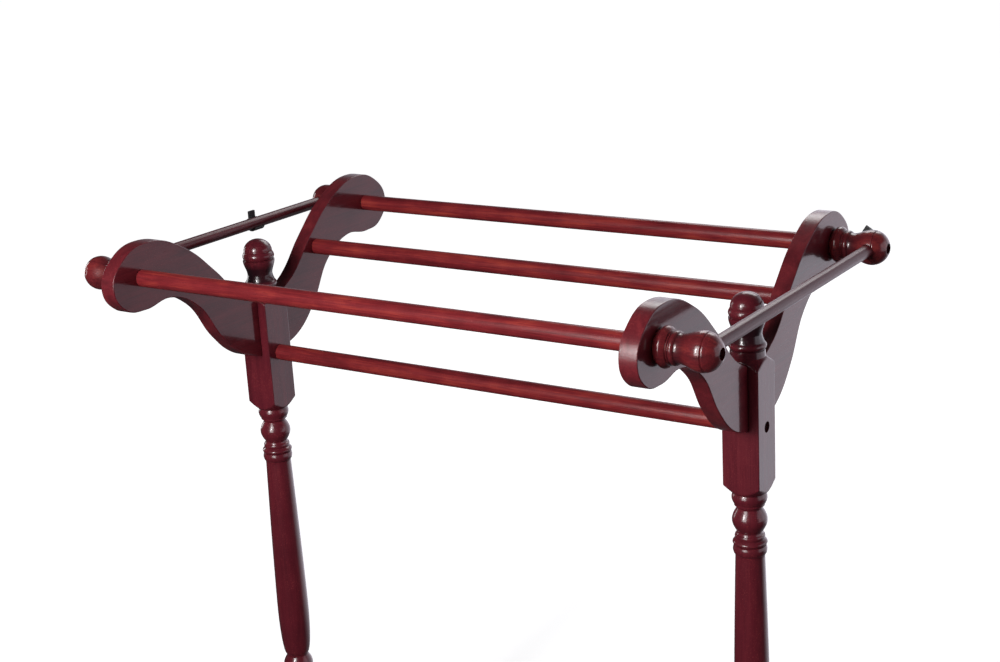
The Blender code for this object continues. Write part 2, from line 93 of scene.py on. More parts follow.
BLOCK_HALF = 0.0590                           # half the height of a post's square block
BORE_R = 0.0033                               # clearance holes for the bolts
BOLT_R = 0.0030
BOLT_HEAD_R = 0.0048
BOLT_HEAD = 0.0040                            # height of a bolt's head
COUNTERBORE_R = 0.0055                        # the open plug holes over the bolts' heads
KNOB_MOUTH = 0.0120                           # depth of a knob's plug hole
POST_MOUTH = 0.0100                           # depth of a post's plug hole
BAR_SOCKET = 0.0078                           # from a knob's axis to the floor of its bar socket
CATCH_FACE = CATCH_NEAR - GAP - LOBE_Y        # from a rear knob's axis to its flat for the catch
PILOT_DEPTH = 0.0082                          # depth of the hole for the catch's screw
SPIGOT_R = 0.0050                             # thinner ends of the second rail
SPIGOT_HOLE = 0.0095                          # depth of the wings' holes for them
SCREW_R = 0.0015
HEX_R = 0.0028                                # the socket in a bolt's head
HEX_DEPTH = 0.0024
PAST = 0.0100                                 # how far a cutting rod runs past the surface
ROUND = 72                                    # facets round a turned piece
SHARP = math.radians(32)                      # edges bent further than this stay sharp
SEAM = 0.000005                               # points this close are one at a lathe's seam
WELD = 0.000004                               # points this close are one after a cut
SWEEP = 1.20                                  # strength of the studio's white sweep
FILL = 0.030                                  # strength of its dim surroundings
SWEEP_WAY = (0.15, 0.989, 0.0)                # the way to the middle of the sweep
WHITE = (1.0, 1.0, 1.0, 1.0)
SIDES = (("left", -1), ("right", 1))
ENDS = (("front", -1), ("rear", 1))
BOLTED_RAILS = ("front_rail", "rear_upper_rail", "centre_rail", "bottom_rail")

BODIES = frame["record"]["behaviour"]["bodies"]
BODY_OF = {node: body for body, nodes in BODIES.items() for node in nodes}


# ---------------------------------------------------------------- mesh helpers
def link(name, data):
    obj = bpy.data.objects.new(name, data)
    bpy.context.scene.collection.objects.link(obj)
    return obj


def mesh_from(name, work):
    mesh = bpy.data.meshes.new(name)
    bmesh.ops.recalc_face_normals(work, faces=work.faces)
    work.to_mesh(mesh)
    work.free()
    return mesh


def lathe(name, profile, steps=ROUND):
    """Turn (radius, height) points about local Z into one closed mesh."""
    work = bmesh.new()
    verts = [work.verts.new((r, 0.0, z)) for r, z in profile]
    edges = [work.edges.new(pair) for pair in zip(verts, verts[1:])]
    bmesh.ops.spin(work, geom=verts + edges, cent=(0, 0, 0), axis=(0, 0, 1), angle=math.tau,
                   steps=steps)
    bmesh.ops.remove_doubles(work, verts=work.verts, dist=SEAM)
    return link(name, mesh_from(name, work))


def place(obj, location, rotation=(0, 0, 0)):
    """Put an object in place, with its world matrix up to date for the cuts."""
    obj.location = location
    obj.rotation_euler = rotation
    bpy.context.view_layer.update()
    return obj


def along_x(sign=1):
    """Turn local Z to point along X, away from the middle where sign is the side."""
    return (0, sign * math.pi / 2, 0)


def along_y():
    """Turn local Z to point along Y, to the rear."""
    return (-math.pi / 2, 0, 0)


def cutter(parts):
    """One tool mesh from rods given as (radius, start, end, facets)."""
    work = bmesh.new()
    for radius, start, end, facets in parts:
        start, end = Vector(start), Vector(end)
        turn = (end - start).to_track_quat("Z", "Y").to_matrix().to_4x4()
        bmesh.ops.create_cone(work, cap_ends=True, segments=facets, radius1=radius, radius2=radius,
                              depth=(end - start).length,
                              matrix=Matrix.Translation((start + end) / 2) @ turn)
    return link("cutter", mesh_from("cutter", work))


def apply_modifiers(obj):
    """Give the object its evaluated mesh and drop its modifiers."""
    bpy.context.view_layer.update()
    graph = bpy.context.evaluated_depsgraph_get()
    mesh = bpy.data.meshes.new_from_object(obj.evaluated_get(graph))
    obj.modifiers.clear()
    obj.data = mesh
    return obj


def weld(obj):
    """Close the slivers that a cut leaves, all far finer than any detail."""
    work = bmesh.new()
    work.from_mesh(obj.data)
    bmesh.ops.remove_doubles(work, verts=work.verts, dist=WELD)
    bmesh.ops.dissolve_degenerate(work, edges=work.edges, dist=WELD)
    work.to_mesh(obj.data)
    work.free()


def combine(obj, tool, operation="DIFFERENCE"):
    """Cut or join with a tool mesh in world space, then remove the tool."""
    modifier = obj.modifiers.new("combine", "BOOLEAN")
    modifier.operation = operation
    modifier.solver = "EXACT"
    modifier.object = tool
    apply_modifiers(obj)
    weld(obj)
    bpy.data.objects.remove(tool, do_unlink=True)
    return obj


def smooth(obj):
    """Shade smooth where faces meet gently, with flat faces kept flat."""
    obj.data.shade_smooth()
    obj.data.set_sharp_from_angle(angle=SHARP)
    weighted = obj.modifiers.new("weighted", "WEIGHTED_NORMAL")
    weighted.keep_sharp = True
    weighted.weight = 90
    return obj


def soft_box(name, low, high, radius):
    """A box between two corners, its edges rounded where a radius is given."""
    work = bmesh.new()
    bmesh.ops.create_cube(work, size=1.0)
    low, high = Vector(low), Vector(high)
    bmesh.ops.scale(work, vec=high - low, verts=work.verts)
    bmesh.ops.translate(work, vec=(low + high) / 2, verts=work.verts)
    if radius:
        bmesh.ops.bevel(work, geom=work.edges, offset=radius, segments=2, profile=0.5,
                        affect="EDGES")
    return link(name, mesh_from(name, work))


def board(name, points, thick, edge, segments):
    """A plate in local XY with edges rounded by edge, from a closed outline of (x, y, is_corner)
    points; the outline is smooth where a point is no corner."""
    curve = bpy.data.curves.new(name, "CURVE")
    curve.dimensions = "2D"
    curve.fill_mode = "BOTH"
    curve.extrude = thick / 2 - edge
    curve.bevel_depth = edge
    curve.bevel_resolution = 2
    curve.offset = -edge
    curve.resolution_u = segments
    spline = curve.splines.new("BEZIER")
    spline.bezier_points.add(len(points) - 1)
    spline.use_cyclic_u = True
    for knot, (x, y, is_corner) in zip(spline.bezier_points, points):
        knot.co = (x, y, 0.0)
        knot.handle_left_type = knot.handle_right_type = "VECTOR" if is_corner else "AUTO"
    obj = link(name, curve)
    bpy.context.view_layer.update()
    graph = bpy.context.evaluated_depsgraph_get()
    mesh = bpy.data.meshes.new_from_object(obj.evaluated_get(graph))
    bpy.data.objects.remove(obj, do_unlink=True)
    work = bmesh.new()
    work.from_mesh(mesh)
    bmesh.ops.remove_doubles(work, verts=work.verts, dist=0.00001)
    bmesh.ops.dissolve_limit(work, angle_limit=math.radians(0.5), verts=work.verts, edges=work.edges)
    return link(name, mesh_from(name, work))


def arc(radius, start, stop, count):
    """Points on a circle from one angle to another, in degrees."""
    angles = [math.radians(start + (stop - start) * i / count) for i in range(count + 1)]
    return [(radius * math.cos(a), radius * math.sin(a)) for a in angles]


def bulge(top, bottom, edge, peak, count=14):
    """A bead between two heights: radius edge at its ends and peak in its middle."""
    return [(edge + (peak - edge) * math.sin(math.pi * i / count), top + (bottom - top) * i / count)
            for i in range(count + 1)]


def chamfered(radius, end, size=0.0006):
    """The rounded arris at a rod's end, from its face to its side."""
    return [(radius - size + size * math.sin(a), end - size + size * math.cos(a))
            for a in (math.radians(18 * i) for i in range(6))]


def wear_piece(obj, node, *materials):
    """Stand a finished piece in for its frame node."""
    obj.data.materials.clear()
    for material in materials:
        obj.data.materials.append(material)
    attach(obj, BODY_OF[node])
    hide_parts(node)


# ---------------------------------------------------------------- material nodes
class Nodes:
    """Short calls for building one material's node tree."""

    def __init__(self, name):
        self.material = bpy.data.materials.new(name)
        self.material.use_nodes = True
        self.tree = self.material.node_tree
        self.shader = self.tree.nodes["Principled BSDF"]

    def add(self, kind, **settings):
        """A new node with these properties."""
        node = self.tree.nodes.new(kind)
        for key, value in settings.items():
            setattr(node, key, value)
        return node

    def join(self, source, target):
        self.tree.links.new(source, target)

    def coordinates(self, scale, turn=(0, 0, 0), shift=(0, 0, 0)):
        """The piece's own coordinates in metres, turned, scaled and shifted."""
        source = self.add("ShaderNodeTexCoord")
        mapping = self.add("ShaderNodeMapping", vector_type="POINT")
        mapping.inputs["Location"].default_value = shift
        mapping.inputs["Rotation"].default_value = turn
        mapping.inputs["Scale"].default_value = scale
        self.join(source.outputs["Object"], mapping.inputs["Vector"])
        return mapping.outputs["Vector"]

    def noise(self, vector, detail=3.0, roughness=0.55, distortion=0.0):
        """Noise from 0 to 1."""
        node = self.add("ShaderNodeTexNoise")
        node.inputs["Scale"].default_value = 1.0
        node.inputs["Detail"].default_value = detail
        node.inputs["Roughness"].default_value = roughness
        node.inputs["Distortion"].default_value = distortion
        self.join(vector, node.inputs["Vector"])
        return node.outputs["Fac"]

    def spread(self, value, low, high, to_low=0.0, to_high=1.0):
        """A value's range from low to high stretched to another, and held at its ends."""
        node = self.add("ShaderNodeMapRange", clamp=True)
        ends = {"From Min": low, "From Max": high, "To Min": to_low, "To Max": to_high}
        for key, number in ends.items():
            node.inputs[key].default_value = number
        self.join(value, node.inputs["Value"])
        return node.outputs["Result"]

    def edges(self, most=1.0):
        """Where an edge stands proud: lightened there as a painted highlight on the wood, as greyed wear
        on the plastic.
        """
        pointiness = self.add("ShaderNodeNewGeometry").outputs["Pointiness"]
        return self.spread(pointiness, 0.53, 0.60, 0.0, most)

    def math(self, operation, first, second):
        node = self.add("ShaderNodeMath", operation=operation)
        for socket, value in zip(node.inputs, (first, second)):
            if isinstance(value, (int, float)):
                socket.default_value = value
            else:
                self.join(value, socket)
        return node.outputs[0]

    def part(self, vector, axis):
        """One component of a vector."""
        split = self.add("ShaderNodeSeparateXYZ")
        self.join(vector, split.inputs["Vector"])
        return split.outputs[axis]

    def painted_recess_shade(self, deep, proud, low, high, cloud):
        """Painted shade for a turned surface's recesses: how far it lies in towards its axis, 1 at the
        deep radius, 0 at the proud, between two heights along the axis."""
        source = self.add("ShaderNodeTexCoord")
        height = self.part(source.outputs["Object"], "Z")
        between = self.math("MULTIPLY", self.spread(height, low - 0.002, low + 0.002),
                            self.spread(height, high - 0.002, high + 0.002, 1.0, 0.0))
        flat = self.add("ShaderNodeVectorMath", operation="MULTIPLY")
        flat.inputs[1].default_value = (1.0, 1.0, 0.0)
        self.join(source.outputs["Object"], flat.inputs[0])
        length = self.add("ShaderNodeVectorMath", operation="LENGTH")
        self.join(flat.outputs["Vector"], length.inputs[0])
        depth = self.spread(length.outputs["Value"], proud, deep)
        depth = self.math("MULTIPLY", depth, self.spread(cloud, 0.30, 0.60, 0.95, 0.75))
        return self.math("MULTIPLY", depth, between)

    def ramp(self, value, stops):
        """Colours from (position, colour) stops."""
        node = self.add("ShaderNodeValToRGB")
        ramp = node.color_ramp
        while len(ramp.elements) < len(stops):
            ramp.elements.new(0.5)
        for element, (position, color) in zip(ramp.elements, stops):
            element.position = position
            element.color = (*color, 1.0)
        self.join(value, node.inputs["Fac"])
        return node.outputs["Color"]

    def mix(self, factor, first, second):
        """From the first colour to the second."""
        node = self.add("ShaderNodeMix", data_type="RGBA")
        self.join(factor, node.inputs["Factor"])
        for key, value in (("A", first), ("B", second)):
            socket = [s for s in node.inputs if s.name == key and s.type == "RGBA"][0]
            if isinstance(value, tuple):
                socket.default_value = (*value, 1.0)
            else:
                self.join(value, socket)
        return [s for s in node.outputs if s.type == "RGBA"][0]

    def bump(self, height, strength, distance, below=None):
        """A normal bumped by a height, over another bump where one is given."""
        node = self.add("ShaderNodeBump")
        node.inputs["Strength"].default_value = strength
        node.inputs["Distance"].default_value = distance
        self.join(height, node.inputs["Height"])
        if below is not None:
            self.join(below, node.inputs["Normal"])
        return node.outputs["Normal"]

    def set(self, **values):
        """Values or links for the shader's inputs, named with underscores."""
        for key, value in values.items():
            socket = self.shader.inputs[key.replace("_", " ")]
            if isinstance(value, (int, float, tuple)):
                socket.default_value = value
            else:
                self.join(value, socket)


# Wood looks: three colours from the pores' dark to the figure's light; the lacquer's roughness
# (coat) and weight (gloss); how much the wood below it mirrors (haze); the depth of the lacquer's
# orange peel and of its dips at the pores; and for turned pieces, a last entry for the painted shade
# in the recesses: the radii where it is full and where it ends, and the heights it lies between.
WOOD = {
    "board": dict(dark=(0.078, 0.0075, 0.0125), main=(0.130, 0.0115, 0.0185), light=(0.170, 0.017, 0.024),
                  coat=0.085, gloss=0.9, haze=0.08, peel=0.05, pores=0.14),
    # the boards' rims: a rougher, hazier coat, with colours lighter than the faces' as a painted
    # highlight
    "edge": dict(dark=(0.085, 0.0085, 0.0135), main=(0.150, 0.0135, 0.0205), light=(0.230, 0.025, 0.031),
                 coat=0.220, gloss=0.9, haze=0.30, peel=0.45, pores=0.12),
    "post": dict(dark=(0.080, 0.0080, 0.0145), main=(0.118, 0.0112, 0.0198), light=(0.158, 0.017, 0.026),
                 coat=0.165, gloss=1.0, haze=0.14, peel=0.030, pores=0.02,
                 painted_recess_shade=(0.0156, 0.0181, -0.0640, -0.0262)),
    "knob": dict(dark=(0.062, 0.0070, 0.0105), main=(0.148, 0.0145, 0.0190), light=(0.265, 0.032, 0.028),
                 coat=0.140, gloss=1.0, haze=0.16, peel=0.010, pores=0.015,
                 painted_recess_shade=(0.0105, 0.0172, 0.0120, 0.0405)),
    "rail": dict(dark=(0.085, 0.0080, 0.0115), main=(0.205, 0.0175, 0.0220), light=(0.380, 0.048, 0.034),
                 coat=0.240, gloss=0.7, haze=0.08, peel=0.34, pores=0.12),
    "bar": dict(dark=(0.060, 0.0080, 0.0125), main=(0.105, 0.0130, 0.0200), light=(0.145, 0.020, 0.027),
                coat=0.200, gloss=0.6, haze=0.08, peel=0.06, pores=0.06),
}
PAINTED_RECESS_SHADE = (0.014, 0.0045, 0.0075)         # painted shade laid into the turned recesses
FLECK_TONE = (0.300, 0.045, 0.045)            # specks where the stain took less
FIGURE = (0.170, 0.0130)                      # lengths along and across the grain, in metres
FIBRE = (0.060, 0.0011)
PORE = (0.009, 0.0007)
CLOUDS, SPECKS, PEEL = 28, 900, 420           # features to a metre
BOARD_SLANT = math.radians(-32)               # the boards' grain against their local X
RIM = 0.7                                     # a board's rim is where its normal's local Z is less


def stretched(lengths, axis):
    """A scale for noise whose features have those lengths along and across a local axis."""
    along, across = lengths
    scale = [1 / across] * 3
    scale[axis] = 1 / along
    return tuple(scale)


def lacquered_wood(name, look, axis, seed, slant=0.0):
    """Gloss lacquer over stained wood whose grain runs along a local axis, slanted in local XY."""
    tones = WOOD[look]
    nodes = Nodes(name)
    turn = (0, 0, slant)
    shift = (seed * 1.7, seed * 2.3, seed * 3.1)
    figure = nodes.noise(nodes.coordinates(stretched(FIGURE, axis), turn, shift), 4.0, 0.60, 0.8)
    fibre = nodes.noise(nodes.coordinates(stretched(FIBRE, axis), turn, shift), 3.0, 0.60)
    cloud = nodes.noise(nodes.coordinates((CLOUDS,) * 3, turn, shift), 2.0, 0.50)
    pores = nodes.noise(nodes.coordinates(stretched(PORE, axis), turn, shift), 1.0, 0.50)
    tone = nodes.math("ADD", nodes.math("MULTIPLY", figure, 0.50), nodes.math("MULTIPLY", fibre, 0.28))
    tone = nodes.math("ADD", tone, nodes.math("MULTIPLY", cloud, 0.22))
    color = nodes.ramp(tone, ((0.36, tones["dark"]), (0.50, tones["main"]), (0.64, tones["light"])))
    pore = nodes.spread(pores, 0.60, 0.72)
    color = nodes.mix(nodes.math("MULTIPLY", pore, 0.40), color, tones["dark"])
    flecks = nodes.noise(nodes.coordinates((SPECKS,) * 3, shift=shift), 1.0, 0.50)
    patches = nodes.spread(cloud, 0.35, 0.60, 0.10, 0.55)
    flecks = nodes.math("MULTIPLY", nodes.spread(flecks, 0.60, 0.72), patches)
    color = nodes.mix(flecks, color, FLECK_TONE)
    # painted highlight: the proud edges lightened towards the light tone, patchy with the clouds
    painted_edge_highlight = nodes.edges()
    painted_edge_highlight = nodes.math("MULTIPLY", painted_edge_highlight, nodes.spread(cloud, 0.40, 0.60, 0.15, 0.55))
    color = nodes.mix(painted_edge_highlight, color, tones["light"])
    # painted shade: the turned pieces' recesses darkened by how far they lie in
    if "painted_recess_shade" in tones:
        color = nodes.mix(nodes.painted_recess_shade(*tones["painted_recess_shade"], cloud), color, PAINTED_RECESS_SHADE)
    peel = nodes.noise(nodes.coordinates((PEEL,) * 3, shift=shift), 2.0, 0.55)
    under = nodes.bump(fibre, 0.35, 0.00015)
    under = nodes.bump(nodes.math("MULTIPLY", pore, -1.0), 0.45, 0.00012, under)
    over = nodes.bump(peel, tones["peel"], 0.00025)
    over = nodes.bump(nodes.math("MULTIPLY", pore, -1.0), tones["pores"], 0.00008, over)
    nodes.set(Base_Color=color, Roughness=nodes.spread(fibre, 0.3, 0.7, 0.30, 0.46), Normal=under,
              Coat_Weight=tones["gloss"], Coat_Roughness=tones["coat"], Coat_IOR=1.5, Coat_Normal=over,
              Specular_IOR_Level=tones["haze"])
    return nodes.material


def black_plastic(name, seed):
    """Moulded satin plastic with a fine spark-eroded texture and slightly greyed wear."""
    nodes = Nodes(name)
    shift = (seed * 1.3, seed * 2.1, seed * 0.7)
    cloud = nodes.noise(nodes.coordinates((160, 160, 160), shift=shift), 3.0)
    grain = nodes.noise(nodes.coordinates((2400, 2400, 2400), shift=shift), 2.0)
    color = nodes.ramp(cloud, ((0.35, (0.010, 0.010, 0.011)), (0.65, (0.021, 0.020, 0.021))))
    nodes.set(Base_Color=nodes.mix(nodes.edges(0.35), color, (0.060, 0.058, 0.058)),
              Roughness=nodes.spread(cloud, 0.3, 0.7, 0.36, 0.52),
              Normal=nodes.bump(grain, 0.25, 0.00005))
    return nodes.material


def zinc(name, seed):
    """Bright zinc plate with faint clouding and turned marks."""
    nodes = Nodes(name)
    shift = (seed * 1.1, seed * 0.9, seed * 1.9)
    cloud = nodes.noise(nodes.coordinates((260, 260, 260), shift=shift), 4.0)
    marks = nodes.noise(nodes.coordinates((90, 90, 9000), shift=shift), 1.0)
    color = nodes.ramp(cloud, ((0.30, (0.42, 0.42, 0.44)), (0.70, (0.66, 0.66, 0.65))))
    nodes.set(Base_Color=color, Metallic=1.0, Roughness=nodes.spread(cloud, 0.3, 0.7, 0.24, 0.42),
              Normal=nodes.bump(marks, 0.12, 0.00004))
    return nodes.material


def bare_wood(name, axis, seed):
    """Unfinished beech, as the glued dowels are."""
    nodes = Nodes(name)
    shift = (seed * 1.5, seed * 0.8, seed * 2.2)
    figure = nodes.noise(nodes.coordinates(stretched((0.080, 0.0040), axis), shift=shift), 3.0, 0.55, 0.5)
    fibre = nodes.noise(nodes.coordinates(stretched((0.006, 0.0004), axis), shift=shift), 2.0)
    tone = nodes.math("ADD", nodes.math("MULTIPLY", figure, 0.7), nodes.math("MULTIPLY", fibre, 0.3))
    color = nodes.ramp(tone, ((0.35, (0.36, 0.20, 0.10)), (0.65, (0.62, 0.42, 0.25))))
    nodes.set(Base_Color=color, Roughness=nodes.spread(fibre, 0.3, 0.7, 0.60, 0.80),
              Normal=nodes.bump(fibre, 0.5, 0.0002))
    return nodes.material


def nylon(name, seed):
    """Brown nylon, scuffed lighter where it slides."""
    nodes = Nodes(name)
    shift = (seed * 2.0, seed * 1.2, seed * 0.5)
    cloud = nodes.noise(nodes.coordinates((220, 220, 220), shift=shift), 4.0)
    scuff = nodes.noise(nodes.coordinates((1500, 160, 900), shift=shift), 2.0)
    color = nodes.ramp(cloud, ((0.35, (0.070, 0.050, 0.040)), (0.65, (0.140, 0.105, 0.085))))
    nodes.set(Base_Color=color, Roughness=nodes.spread(scuff, 0.3, 0.7, 0.42, 0.62),
              Normal=nodes.bump(scuff, 0.3, 0.00008))
    return nodes.material


# ---------------------------------------------------------------- posts
def stretch_rows(start, stop, count):
    """Straight rows of a profile from one (radius, height) to another, without the last."""
    return [(start[0] + (stop[0] - start[0]) * i / count, start[1] + (stop[1] - start[1]) * i / count)
            for i in range(count)]


def post_profile():
    """The post's turned radius from the finial's tip down, heights from the rails' axis."""
    tip = -0.0025
    # the finial: dome, bead, waist and ring
    rows = [(0.0160 * math.sin(a), tip - 0.0138 * (1 - math.cos(a)))
            for a in (math.radians(6 * i) for i in range(16))]
    rows += [(0.0158, -0.0166), (0.0157, -0.0169)]
    rows += bulge(-0.0172, -0.0260, 0.0160, 0.0179)
    rows += [(0.0159 + 0.0019 * math.cos(math.pi * i / 16), -0.0265 - 0.0165 * i / 16)
             for i in range(17)]
    rows += [(0.0142 + 0.0018 * (i / 6) ** 2, -0.0430 - 0.0062 * i / 6) for i in range(1, 6)]
    rows += bulge(-0.0498, -0.0575, 0.0160, 0.0181)
    rows += [(0.0166, -0.0580), (0.0168, -0.0590), (0.0170, -0.0615)]
    # the upper block between its shoulders
    rows += shoulder(0.0172, -0.0640, -1)
    rows += long_face(-BLOCK_DROP)
    rows += shoulder(0.0170, -0.2010, 1)
    # the ring, ball and stacked rings over the shaft, and the shaft
    rows += bulge(-0.2012, -0.2118, 0.0158, 0.0173)
    rows += [(0.0150, -0.2122), (0.0149, -0.2145), (0.0138, -0.2150), (0.0127, -0.2162)]
    rows += bulge(-0.2178, -0.2420, 0.0124, 0.0172, 22)
    rows += [(0.0125, -0.2432), (0.0133, -0.2445), (0.0142, -0.2449)]
    rows += bulge(-0.2450, -0.2492, 0.0143, 0.0148, 6)
    rows += [(0.0144, -0.2497)]
    rows += bulge(-0.2502, -0.2560, 0.0150, 0.0170, 10)
    rows += [(0.0158, -0.2563)]
    rows += bulge(-0.2566, -0.2645, 0.0158, 0.0167, 10)
    rows += [(0.0148, -0.2655), (0.0145, -0.2672)]
    rows += shaft_rows()
    # the lower ball and ring
    rows += bulge(-0.5175, -0.5410, 0.0126, 0.0174, 22)
    rows += [(0.0128, -0.5425), (0.0138, -0.5440), (0.0149, -0.5450), (0.0150, -0.5466)]
    rows += bulge(-0.5470, -0.5580, 0.0152, 0.0173)
    rows += [(0.0158, -0.5585), (0.0160, -0.5590)]
    # the lower block, and the drop that hangs from it
    low_top = -LOWER_BLOCK_DROP + BLOCK_HALF
    rows += shoulder(0.0165, low_top + 0.0093, -1)
    rows += long_face(-LOWER_BLOCK_DROP)
    drop = -LOWER_BLOCK_DROP - BLOCK_HALF - 0.0098
    rows += shoulder(0.0166, drop + 0.0002, 1)
    rows += [(0.0165, drop - 0.0012), (0.0158, drop - 0.0020), (0.0152, drop - 0.0034)]
    rows += [(0.0150 * math.cos(a), drop - 0.0060 - 0.0140 * math.sin(a))
             for a in (math.radians(6 * i) for i in range(15))]
    rows += [(0.0, drop - 0.0200)]
    return rows


def shoulder(radius, height, way):
    """The 45 degree cone between a turned neck and a block: -1 leads into it, 1 out of it."""
    reach = 0.0285 - radius
    cone = stretch_rows((radius, height), (radius + reach, height + way * reach), 34)
    cone.append((radius + reach, height + way * reach))
    return cone if way < 0 else cone[::-1]


def long_face(middle_height):
    """The few rows that a block's flat faces need."""
    reach = BLOCK_HALF - 0.0030
    return [(0.0285, middle_height + reach * t) for t in (1.0, 0.5, 0.0, -0.5, -1.0)]


def shaft_rows():
    """The slender vase: it swells slowly downward and closes quickly to a neck."""
    top, widest, neck = -0.2690, -0.4550, -0.5145
    thin, thick, throat = 0.0145, 0.0183, 0.0129
    slow = [(thin + (thick - thin) * (1 - (1 - i / 24) ** 1.35), top + (widest - top) * i / 24)
            for i in range(25)]
    quick = [(throat + (thick - throat) * math.cos(a), widest + (neck - widest) * math.sin(a))
             for a in (math.radians(5 * i) for i in range(1, 19))]
    return slow + quick


def square_reach(angle, half, corner):
    """Distance from the axis to a square with rounded corners."""
    x, y = abs(math.cos(angle)), abs(math.sin(angle))
    reach = half / max(x, y)
    if min(x, y) * reach <= half - corner:
        return reach
    centre = half - corner
    along = (x + y) * centre
    return along + math.sqrt(along * along - 2 * centre * centre + corner * corner)


def soft_min(first, second, blend):
    t = min(1.0, max(0.0, 0.5 + 0.5 * (second - first) / blend))
    return second + (first - second) * t - blend * t * (1 - t)


def post_angles():
    """Even angles, with more of them at the blocks' rounded corners."""
    degrees = {5.0 * i for i in range(72)}
    for corner in (45, 135, 225, 315):
        degrees |= {corner + step for step in (-2.6, -1.9, -1.25, -0.6, 0.6, 1.25, 1.9, 2.6)}
    return [math.radians(d) for d in sorted(degrees)]


def post_mesh(name):
    """A loft of rings, each the smaller of a turned circle and the rounded square."""
    angles = post_angles()
    squares = [square_reach(a, HALF, 0.0011) for a in angles]
    work = bmesh.new()
    rings = []
    for radius, height in post_profile():
        if radius < 0.0001:
            rings.append([work.verts.new((0, 0, height))])
            continue
        reaches = [soft_min(radius, s, 0.0007) for s in squares]
        rings.append([work.verts.new((r * math.cos(a), r * math.sin(a), height))
                      for r, a in zip(reaches, angles)])
    for upper, lower in zip(rings, rings[1:]):
        for i in range(len(angles)):
            j = (i + 1) % len(angles)
            corners = [upper[i % len(upper)], lower[i % len(lower)],
                       lower[j % len(lower)], upper[j % len(upper)]]
            work.faces.new(list(dict.fromkeys(corners)))
    return mesh_from(name, work)


def build_posts():
    for side, sign in SIDES:
        node = f"{side}_post"
        post = place(link(f"{node}_turned", post_mesh(f"{node}_turned")), (sign * POST_X, 0, RAIL_Z))
        outside = POST_X + HALF
        rods = []
        for z in (UPPER_BLOCK_Z, LOWER_BLOCK_Z):
            rods.append((COUNTERBORE_R, (sign * (outside - POST_MOUTH), 0, z),
                         (sign * (outside + PAST), 0, z), 40))
        for z in dowel_heights(1) + dowel_heights(-1):
            rods.append((DOWEL_R + GAP, (sign * POST_X, -HALF - PAST, z),
                         (sign * POST_X, HALF + PAST, z), 32))
        combine(post, cutter(rods))
        bores = [(BORE_R, (sign * (POST_X - HALF - PAST), 0, z),
                  (sign * (outside - PAST / 2), 0, z), 32) for z in (UPPER_BLOCK_Z, LOWER_BLOCK_Z)]
        combine(post, cutter(bores))
        smooth(post)
        wear_piece(post, node, lacquered_wood(f"{node}_lacquer", "post", 2, 3 + sign))


# ---------------------------------------------------------------- wings and feet
def scroll_outline():
    """The S-shaped board, as distance from the posts' plane and height from its round end."""
    start = HALF + GAP
    return [
        (start, -0.0690, True),
        (0.0450, -0.0545, False),
        (0.0800, -0.0185, False),
        (0.1220, 0.0165, False),
        (0.1720, 0.0350, False),
        (0.2105, 0.0245, False),
        (0.2285, -0.0030, False),
        (0.2140, -0.0285, False),
        (0.1870, -0.0345, False),
        (0.1500, -0.0310, False),
        (0.1120, -0.0500, False),
        (0.0790, -0.0955, False),
        (0.0510, -0.1215, False),
        (start, -0.1340, True),
    ]


def dowel_heights(up):
    """Heights of the two dowels of a wing (up is 1) or of a foot (up is -1)."""
    return [RAIL_Z - drop if up > 0 else FOOT_Z + drop for drop in DOWEL_DROPS]


def build_board(node, sign, end, up, seed):
    """A wing (up is 1) or, turned over and cut flat for its glide, a foot (up is -1)."""
    name = f"{node}_board"
    piece = board(name, scroll_outline(), WING_THICK, 0.0010, 12)
    across = Vector((0, end, 0))
    height = Vector((0, 0, up))
    turn = Matrix((across, height, across.cross(height))).transposed()
    place(piece, (sign * POST_X, 0, RAIL_Z if up > 0 else FOOT_Z), turn.to_euler())
    rods = [(DOWEL_R + GAP, (sign * POST_X, end * (HALF - PAST), z),
             (sign * POST_X, end * (DOWEL_HALF + 0.001), z), 32) for z in dowel_heights(up)]
    if up > 0:
        rods.append((BORE_R, (sign * (INNER_FACE - PAST), end * LOBE_Y, RAIL_Z),
                     (sign * (OUTER_FACE + PAST), end * LOBE_Y, RAIL_Z), 32))
        if end > 0:
            rods.append((SPIGOT_R + GAP, (sign * (INNER_FACE - PAST), SECOND_RAIL_Y, SECOND_RAIL_Z),
                         (sign * (INNER_FACE + SPIGOT_HOLE), SECOND_RAIL_Y, SECOND_RAIL_Z), 32))
    combine(piece, cutter(rods))
    if up < 0:
        y = end * LOBE_Y
        flat = soft_box("cutter", (sign * POST_X - 0.02, y - 0.05, -PAST),
                        (sign * POST_X + 0.02, y + 0.05, GLIDE_HEIGHT + GAP), 0)
        combine(piece, flat)
    smooth(piece)
    # the second material, for the rims, is lighter in colour as a painted highlight
    wear_piece(piece, node, lacquered_wood(f"{name}_face_lacquer", "board", 0, seed, BOARD_SLANT),
               lacquered_wood(f"{name}_rim_lacquer_and_highlight", "edge", 0, seed, BOARD_SLANT))
    for polygon in piece.data.polygons:
        polygon.material_index = 1 if abs(polygon.normal.z) < RIM else 0


def build_boards():
    seed = 10
    for side, sign in SIDES:
        for end_name, end in ENDS:
            build_board(f"{side}_{end_name}_wing", sign, end, 1, seed)
            build_board(f"{side}_{end_name}_foot", sign, end, -1, seed + 4)
            seed += 1


# ---------------------------------------------------------------- rails and bars
def build_bolted_rail(node, seed):
    """A rail with rounded arrises and an insert hole in each end."""
    half = extent(node).x / 2
    depth = half - INSERT_LENGTH - 0.001
    hole = [(0.0, depth), (INSERT_R + GAP, depth), (INSERT_R + GAP, half)]
    top = hole + chamfered(RAIL_R, half)
    profile = top + [(r, -z) for r, z in reversed(top)]
    rail = place(lathe(f"{node}_rod", profile), middle(node), along_x())
    smooth(rail)
    wear_piece(rail, node, lacquered_wood(f"{node}_lacquer", "rail", 2, seed))


